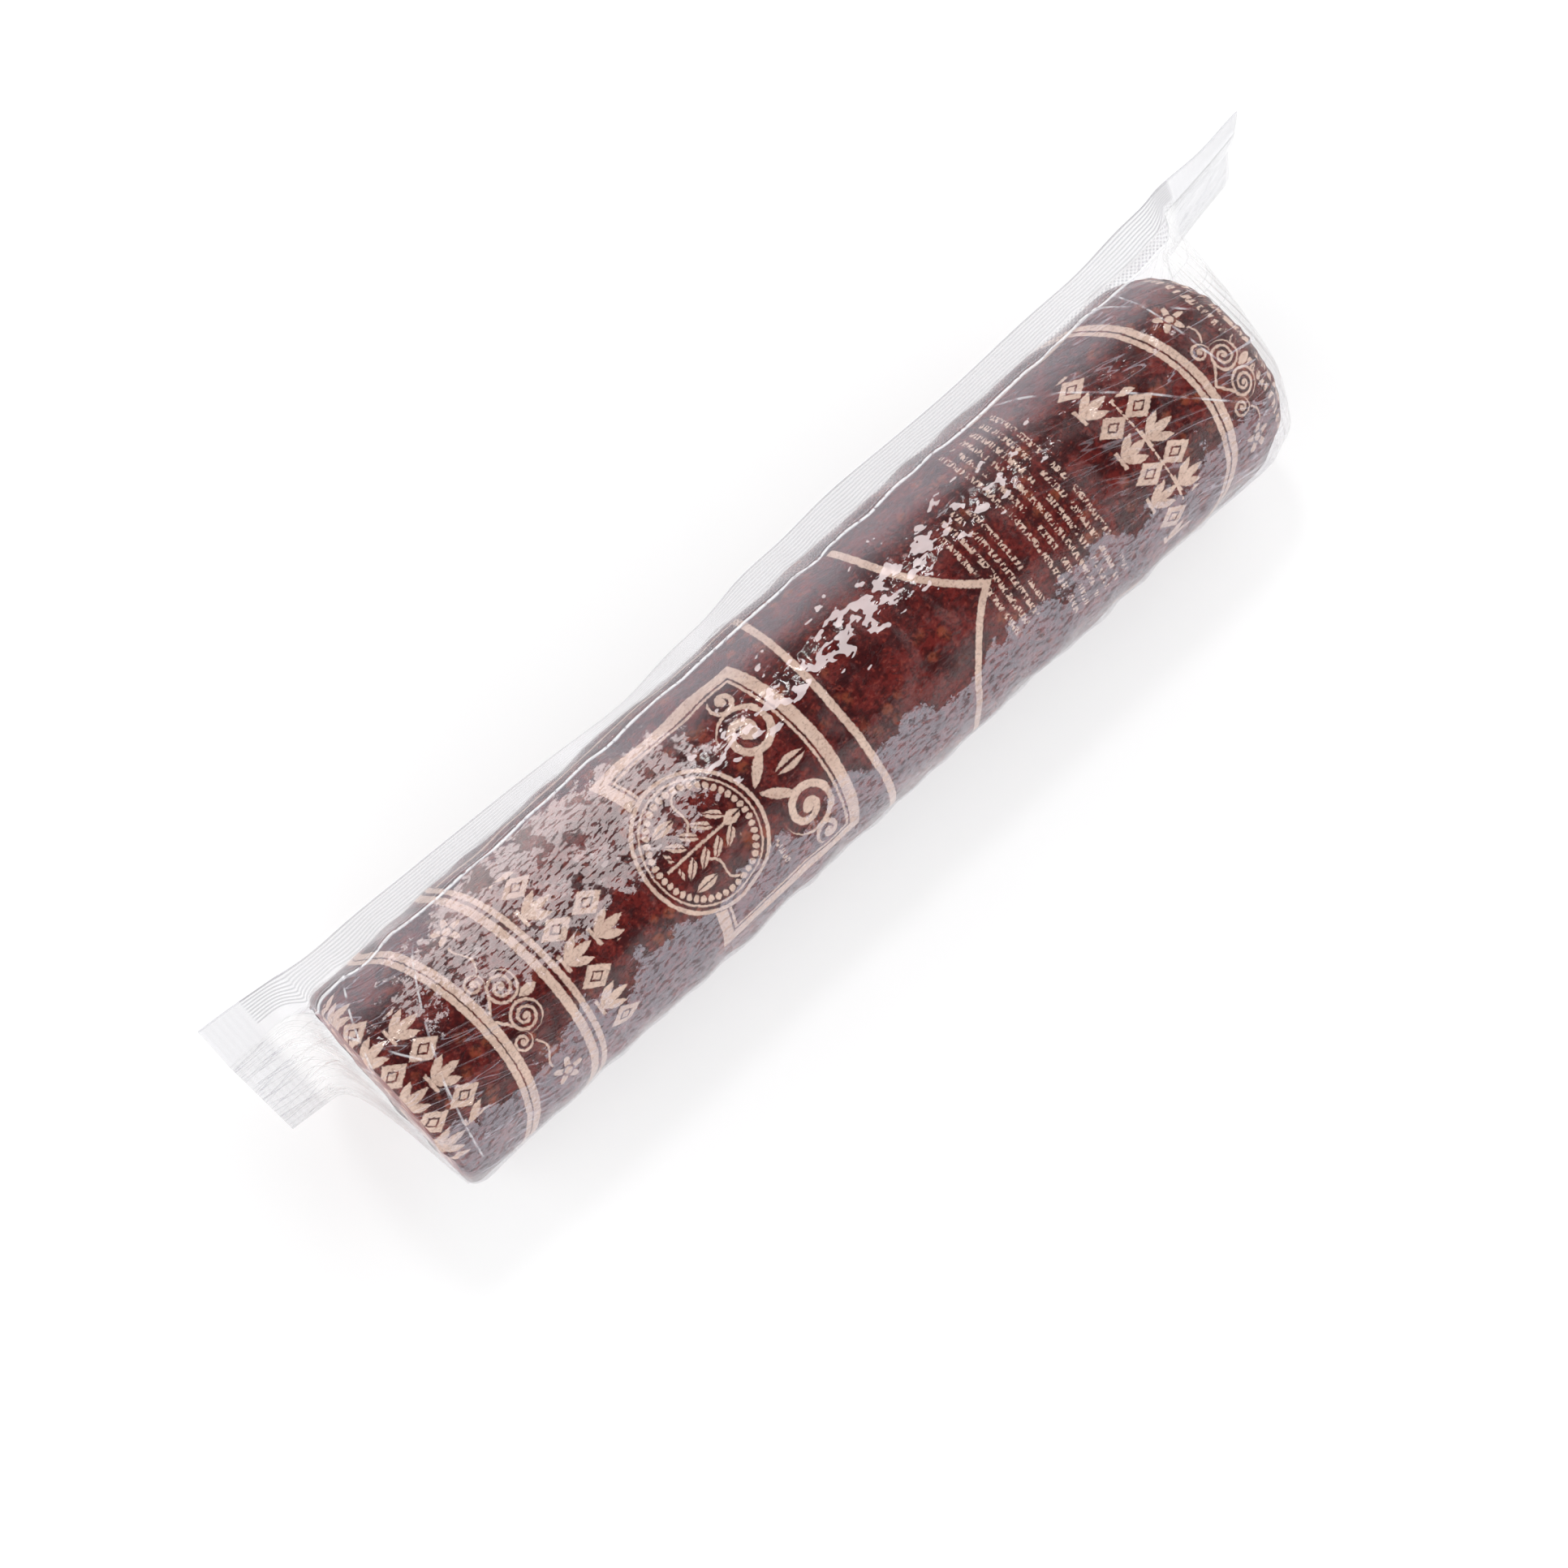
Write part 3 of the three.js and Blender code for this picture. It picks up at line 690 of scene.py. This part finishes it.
def buildMeat():
    # the casing's profile drawn in by a gap, closed by a rough cut face
    gap = meat["inset"]
    faceR = np.concatenate([[0.8], np.arange(2, 26.5, 1.5), [27.3, 28.4, 29.3, 29.9]])
    start = meatLow[0]
    faceR = faceR * (1 - roundedBy(start) / 29.0)
    near = start + np.array([0.5, 1.0, 1.6, 2.3])
    sideX = np.concatenate([near, np.linspace(start + 3.2, tipX - casing["domeLength"], 68)])
    profile = np.concatenate([
        np.stack([np.full(len(faceR), start), faceR], -1),
        [[start + 0.15, casingRadius - gap - 0.3 - roundedBy(start)]],
        np.stack([sideX, casingRadius - gap - roundedBy(sideX)], -1),
        domeProfile(gap, 20)[1:], dimpleProfile(gap, 7)[1:],
        [[tipX - casing["dimpleDepth"] - gap, 3.0], [tipX - casing["dimpleDepth"] - gap, 1.0]],
    ])
    columns = meat["columns"]
    angle = np.linspace(-np.pi / 2, 1.5 * np.pi, columns + 1)
    x, r = profile[:, :1], profile[:, 1:]
    a = angle[None, :-1]
    onFace = (np.arange(len(profile)) < len(faceR))[:, None]
    swell = (lumpsAt(x, a) - 0.1) * np.clip((r - 8) / 14, 0, 1) * np.clip((x - cutX) / 6 + 0.35, 0, 1) * ~onFace
    shape = r + swell
    y, z = shape * np.cos(a), shape * np.sin(a)
    # the cut face: knife marks and pieces of meat that stand a little proud
    rng = np.random.default_rng(21)
    marks = np.zeros_like(y)
    for _ in range(meat["knifeMarks"]):
        ky, kz, phase = rng.normal(0, 0.55), rng.normal(0, 0.55), rng.uniform(0, 6.28)
        marks += np.cos(ky * y + kz * z + phase)
    lift = meat["grain"] * marks / 4.5 + 0.12 * np.sin(0.8 * y + 0.35 * z)
    along = x + onFace * np.clip(lift, -0.4, 0.4) * np.clip((29.0 - r) / 2, 0, 1)
    points = np.stack([along + 0 * y, y, axisHeight + z], -1)
    pressFlat(points, r + 0 * a, 0.0)
    poles = [[start, 0, axisHeight], [tipX - casing["dimpleDepth"] - gap, 0, axisHeight]]
    piece = turnedSkin("meat_log", points, poles, profile[:, 0], casingRadius * (angle - np.pi / 2))
    piece.data.materials.append(meatMaterial())
    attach(piece, "root")
    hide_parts("meat")
    return piece


clip = {"crimps": 5, "crimpDepth": 0.10, "squareness": 0.45, "across": 22, "around": 96}


def buildClip():
    # a bent strip pressed round the neck: a rounded box section carried round a ring with flattened sides
    outerR = (clipHigh[1] - clipLow[1]) / 2
    innerR = casing["neckRadius"] + 0.3
    middleR, halfR = (outerR + innerR) / 2, (outerR - innerR) / 2
    middleX, halfX = (clipLow[0] + clipHigh[0]) / 2, (clipHigh[0] - clipLow[0]) / 2
    centreZ = (clipLow[2] + clipHigh[2]) / 2
    s = np.linspace(0, 2 * np.pi, clip["across"], endpoint=False)[None, :]
    t = np.linspace(0, 2 * np.pi, clip["around"], endpoint=False)[:, None]
    dr = halfR * np.sign(np.cos(s)) * np.abs(np.cos(s)) ** clip["squareness"]
    dx = halfX * np.sign(np.sin(s)) * np.abs(np.sin(s)) ** clip["squareness"]
    squeeze = 1 - clip["crimpDepth"] * np.abs(np.sin(clip["crimps"] / 2 * t + 0.4)) ** 6
    seam = np.exp(-((t - np.pi) / 0.10) ** 2)                        # where the strip's two ends meet
    radius = (middleR + dr * squeeze) * (1 - 0.06 * seam)
    x = middleX + dx * (1 - 0.22 * seam) + 0.12 * np.sin(2 * t + 1)
    points = np.stack([x, radius * np.cos(t), centreZ + radius * np.sin(t)], -1)
    rows, columns = points.shape[:2]
    quads = ringQuads(rows, columns)
    closing = np.stack([
        (rows - 1) * columns + np.arange(columns), (rows - 1) * columns + (np.arange(columns) + 1) % columns,
        (np.arange(columns) + 1) % columns, np.arange(columns),
    ], -1)
    piece = makePiece("clip_ring", points.reshape(-1, 3), np.concatenate([quads, closing]))
    piece.data.materials.append(clipMaterial())
    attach(piece, "root")
    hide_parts("clip")
    return piece


cutTail = {
    "gather": 11.0, "power": 3.4,                # mm over which the tube closes, and how suddenly
    "reach": 25.0, "halfWidth": 13.0, "angle": 32.0, "finAngle": 20.0,
    "y": 19.0, "above": 2.0, "drift": 1.5,       # where the tail's middle lies
}
roundTail = {
    "gather": 8.0, "hold": 24.0, "power": 6.0,
    "reach": 38.0, "halfWidth": 14.0, "angle": 82.0, "finAngle": 80.0,
    "y": 28.5, "above": 3.0, "drift": 7.0,
}


def gatheredAt(x):
    # how far the tube has closed into a flat tail, 0 on the log and 1 in the tail
    atCut = 1 - (1 - np.clip((cutX - 0.7 - x) / cutTail["gather"], 0, 1)) ** cutTail["power"]
    span = roundTail["hold"] + roundTail["gather"]
    atTip = np.clip((x - (tipX - roundTail["hold"])) / span, 0, 1) ** roundTail["power"]
    return np.where(x < 0, atCut, atTip)


def tubePoint(x, turnAngle, inset):
    # between a round ring at the root angle plus turn, and a flat loop across the tail
    radius = film["radius"] - inset
    angle = np.radians(film["rootAngle"]) + turnAngle
    g = gatheredAt(x)
    lift = lumpsAt(x, angle) * np.clip(1 - g * 3, 0, 1)
    tight = 1.3 * np.sin(13 * turnAngle + 1.5 * np.sin(2 * turnAngle)) + 0.9 * np.sin(23 * turnAngle + 0.35 * x)
    wide = 1.5 * np.sin(5 * turnAngle + 0.8 + 0.03 * x) + 0.7 * np.sin(11 * turnAngle + 1.2 * np.sin(turnAngle))
    folds = np.where(x < 0, tight, wide) + 0.4 * ripple(x, angle, 14, 40, 31, 40)
    pleat = folds * 4 * g * (1 - g) * 0.75
    way = film["radius"] * (turnAngle - np.radians(90 - film["rootAngle"]))
    tense = np.zeros(np.broadcast(x, turnAngle).shape)
    for fold in creases:
        along, side = creaseParts(x, way, fold)
        ends = smooth(along, -0.02, 0.2) * smooth(1 - along, -0.02, 0.2)
        tense = np.maximum(tense, np.exp(-(side / 1.1) ** 2) * ends)
    loose = np.maximum(ripple(x, angle, 9, 22, 33, 60), 0)
    ring = radius - np.where(x < 0, roundedBy(x), 0) * 0.9 + lift + pleat + 0.22 * loose + 0.38 * tense
    ringY, ringZ = ring * np.cos(angle), np.maximum(axisHeight + ring * np.sin(angle), inset)
    result = []
    for tail in (cutTail, roundTail):
        tilt = np.radians(tail["angle"])
        beyond = np.maximum(np.abs(x) - tipX, 0) / tail["reach"]
        along = (tail["halfWidth"] - inset) * np.cos(turnAngle) * (1 - 0.10 * beyond)
        across = (0.6 if inset == 0 else 0.25) * np.sin(turnAngle)
        wave = 0.7 * np.sin(along * 0.30 + 3 * beyond + 1) + 0.15 * np.sin(along * 0.8 - 4 * beyond)
        bend = across + wave * np.clip(g * 1.4 - 0.3, 0, 1)
        result.append((
            tail["y"] + tail["drift"] * beyond + along * np.cos(tilt) - bend * np.sin(tilt),
            axisHeight + tail["above"] + along * np.sin(tilt) + bend * np.cos(tilt),
        ))
    (cutY, cutZ), (roundY, roundZ) = result
    flatY, flatZ = np.where(x < 0, cutY, roundY), np.where(x < 0, cutZ, roundZ)
    return ringY + (flatY - ringY) * g, ringZ + (flatZ - ringZ) * g


def endEdge(x, turnAngle, first, last):
    # the tails' ends are cut a little off square
    skew = 1.2 * np.cos(turnAngle)
    return x + skew * (smooth(x, last - 20, last) - smooth(x, first + 16, first) * 0.6)


def buildFilm():
    # outer wall: rings of the tube, joined to the fin's two faces, which are root + distance * direction;
    # inner wall: the rings again, a film's thickness inside; the two are joined at both ends
    first, last = filmLow[0] + 1.0, filmHigh[0] - 1.5
    rows = film["rows"]
    # rows crowd together where the film gathers
    s = np.linspace(0, 1, 4000)
    at = first + (last - first) * s
    want = 1 + 3.2 * np.exp(-((at + 151) / 9) ** 2) + 2.2 * np.exp(-((at - 147) / 13) ** 2)
    total = np.cumsum(want) - want[0]
    spots = first + (last - first) * np.interp(np.linspace(0, total[-1], rows), total, s)
    tubeCount = film["tubeColumns"]
    gap = film["finHalf"] / film["radius"]
    turnAngle = np.linspace(gap, 2 * np.pi - gap, tubeCount)[None, :]
    x = spots[:, None]
    y, z = tubePoint(x, turnAngle, 0.0)
    tube = np.stack([endEdge(x + 0 * turnAngle, turnAngle, first, last), y, z], -1)
    # fin: leaves the root and lies over to one side, with a wavy outer edge and fine welded ribs
    g = gatheredAt(spots)
    lean = -22 - 28 * np.exp(-(((spots + 42) / 45) ** 2))
    lean = lean + (np.where(spots < 0, cutTail["finAngle"], roundTail["finAngle"]) - lean) * g
    lean = np.radians(lean + 2.0 * np.sin(spots / 21) * (1 - g) + 1.2 * np.sin(spots / 9 + 1) * (1 - g))
    root = (tube[:, 0] + tube[:, -1]) / 2
    ribCount = film["finRibs"] * 2
    ribSteps = 3.0 + np.arange(ribCount + 1) * (film["finWidth"] - 3.0) / ribCount
    distance = np.concatenate([[0.7, 1.4, 2.1, 2.8], ribSteps])
    rib = np.concatenate([[0, 0.03, -0.03, 0.0], np.where(np.arange(ribCount + 1) % 2, 0.09, -0.09)])
    d, ribs = distance[None, :], rib[None, :]
    wave = 0.45 * np.sin(spots / 6.5 + 2 * np.sin(spots / 25))[:, None] * (d / 12) ** 2
    direction = lean[:, None] + 0 * d
    width = d * (1 + 0.02 * np.sin(spots / 17))[:, None]
    # the outer edge is drawn nearly straight from tail to tail: its line is averaged over a stretch of the log
    edgeLine = root[:, 1:] + film["finWidth"] * np.stack([np.cos(lean), np.sin(lean)], -1)
    nearness = np.exp(-0.5 * ((spots[:, None] - spots[None, :]) / 13.0) ** 2) * np.gradient(spots)[None, :]
    straightened = (nearness @ edgeLine) / nearness.sum(1, keepdims=True) - edgeLine
    pull = straightened[:, None, :] * ((d / film["finWidth"]) ** 1.3)[..., None]
    sides = []
    for half in (-film["finHalf"], film["finHalf"]):
        off = wave + ribs + half * np.clip(1.2 - d / 40, 0.5, 1)
        sides.append(np.stack([
            root[:, None, 0] + 0 * d,
            root[:, None, 1] + width * np.cos(direction) - off * np.sin(direction) + pull[..., 0],
            root[:, None, 2] + width * np.sin(direction) + off * np.cos(direction) + pull[..., 1],
        ], -1))
    finOut, finBack = sides[0], sides[1][:, ::-1]
    outer = np.concatenate([tube, finOut, finBack], 1)
    finCount = len(distance)
    columns = outer.shape[1]
    outer[..., 2] = np.maximum(outer[..., 2], 0.0)
    quads = ringQuads(rows, columns)
    # inner wall
    innerRows = film["innerRows"]
    inSpots = np.interp(np.linspace(0, rows - 1, innerRows), np.arange(rows), spots)
    xi = inSpots[:, None]
    yi, zi = tubePoint(xi, turnAngle, film["wall"])
    inner = np.stack([endEdge(xi + 0 * turnAngle, turnAngle, first, last), yi, zi], -1)
    start = rows * columns
    innerQuads = ringQuads(innerRows, tubeCount, start)[:, ::-1]
    k = np.arange(tubeCount)
    n = (k + 1) % tubeCount
    f = np.arange(finCount - 1)
    caps = []
    for row, innerRow, flip in ((0, 0, False), (rows - 1, innerRows - 1, True)):
        o, i = row * columns, start + innerRow * tubeCount
        tubeCap = np.stack([o + k, i + k, i + n, o + np.where(k == tubeCount - 1, 0, k + 1)], -1)
        out, back = o + tubeCount + f, o + columns - 1 - f
        finCap = np.stack([out, back, back - 1, out + 1], -1)
        rootCap = np.array([[o + tubeCount - 1, o, o + columns - 1, o + tubeCount]])
        made = np.concatenate([tubeCap, finCap, rootCap])
        caps.append(made[:, ::-1] if flip else made)
    allQuads = np.concatenate([quads, innerQuads, *caps])
    points = np.concatenate([outer.reshape(-1, 3), inner.reshape(-1, 3)])
    # way round in mm: above 0 on the tube, below 0 on the fin
    ways = np.concatenate([turnAngle[0] * film["radius"], -distance, -distance[::-1]])
    wayFrom, wayTo = ways.copy(), np.roll(ways, -1)
    wayFrom[tubeCount - 1], wayTo[-1] = -0.01, -0.01
    outerUv = gridUv(spots, wayFrom, wayTo)
    tubeWay = np.append(turnAngle[0], 2 * np.pi) * film["radius"]
    innerUv = gridUv(inSpots, tubeWay[:-1], tubeWay[1:])[:, ::-1]
    capUv = np.concatenate([np.tile([end, 40.0], (len(cap), 4, 1)) for end, cap in zip((first, last), caps)])
    allUv = np.concatenate([outerUv, innerUv, capUv])
    piece = makePiece("film_sleeve", points, allQuads, None, (allUv, np.zeros((0, 3, 2))))
    piece.data.materials.append(filmMaterial())
    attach(piece, "root")
    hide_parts("film_wrap")
    return piece


buildMeat()
buildCasing()
buildClip()
buildFilm()


stage = {
    "floorSide": 8.0, "floorGlow": 0.52,
    "keyFrom": (0.174, 0.424, 0.889), "keyAway": 1.3, "keySide": 0.17, "keyPower": 2.6,
    "sky": 1.82, "overhead": 0.05,
    "lens": 81.7, "cameraAt": (-0.1776, -0.1774, 0.9053), "lookAt": (-0.0201, -0.0089),
}


def buildFloor():
    # a flat square just under the object, lit a little from within so that the shade on it stays pale
    half = stage["floorSide"] / 2 / mm
    side = np.linspace(-half, half, 3)
    gx, gy = np.meshgrid(side, side, indexing="ij")
    points = np.stack([gx, gy, np.full_like(gx, -0.05)], -1).reshape(-1, 3)
    r, c = np.meshgrid(np.arange(2), np.arange(2), indexing="ij")
    corner = (r * 3 + c).ravel()
    quads = np.stack([corner, corner + 3, corner + 4, corner + 1], -1)
    mesh = bpy.data.meshes.new("floor")
    mesh.from_pydata((points * mm).tolist(), [], quads.tolist())
    piece = bpy.data.objects.new("floor", mesh)
    bpy.context.scene.collection.objects.link(piece)
    made, wire = newMaterial("paleFloor", rgb(0.9, 0.9, 0.9))
    place = wire.node("ShaderNodeTexCoord", None, None, 3)
    shade = place.noise(40.0, 2.0).blend(rgb(0.50, 0.50, 0.505), rgb(0.515, 0.515, 0.518))
    finishMaterial(wire, wire.node("ShaderNodeBsdfPrincipled", None, {
        "Base Color": shade, "Roughness": 0.9, "Specular IOR Level": 0.1,
        "Emission Color": rgb(1.0, 1.0, 1.0), "Emission Strength": stage["floorGlow"],
    }))
    mesh.materials.append(made)


def buildLight():
    # one small soft lamp, and a white surround
    light = bpy.data.lights.new("key", "AREA")
    light.energy = stage["keyPower"]
    light.size = stage["keySide"]
    lamp = bpy.data.objects.new("key", light)
    way = Vector(stage["keyFrom"]).normalized()
    lamp.location = way * stage["keyAway"]
    lamp.rotation_euler = (-way).to_track_quat("-Z", "Y").to_euler()
    bpy.context.scene.collection.objects.link(lamp)
    world = bpy.data.worlds.new("studio")
    world.use_nodes = True
    bpy.context.scene.world = world
    world.node_tree.nodes.clear()
    wire = Wire(world.node_tree)
    # white all round, with a dark gap overhead across the log, as between two long softboxes
    dx, _, dz = wire.node("ShaderNodeTexCoord", None, None, 0).split()
    gap = abs(dx).step(0.55, 0.34) * dz.step(0.40, 0.58)
    bright = (1.0 - gap) * (stage["sky"] - stage["overhead"]) + stage["overhead"]
    shader = wire.node("ShaderNodeBackground", None, {"Color": rgb(1.0, 1.0, 1.0), "Strength": bright})
    wire.node("ShaderNodeOutputWorld", None, {"Surface": shader})


def buildCamera():
    # from above and a little to one side, looking at the log's middle
    lens = bpy.data.cameras.new("camera")
    lens.sensor_width = 36.0
    lens.lens = stage["lens"]
    lens.clip_start, lens.clip_end = 0.05, 20.0
    camera = bpy.data.objects.new("camera", lens)
    bpy.context.scene.collection.objects.link(camera)
    target = Vector((*stage["lookAt"], axisHeight * mm))
    camera.location = Vector(stage["cameraAt"])
    camera.rotation_mode = "QUATERNION"
    camera.rotation_quaternion = (target - camera.location).to_track_quat("-Z", "Y")
    bpy.context.scene.camera = camera


buildFloor()
buildLight()
buildCamera()
bpy.context.scene.view_settings.view_transform = "Standard"
cycles = bpy.context.scene.cycles
cycles.max_bounces, cycles.diffuse_bounces, cycles.glossy_bounces, cycles.transparent_max_bounces = 6, 2, 2, 16
print("stage ready")
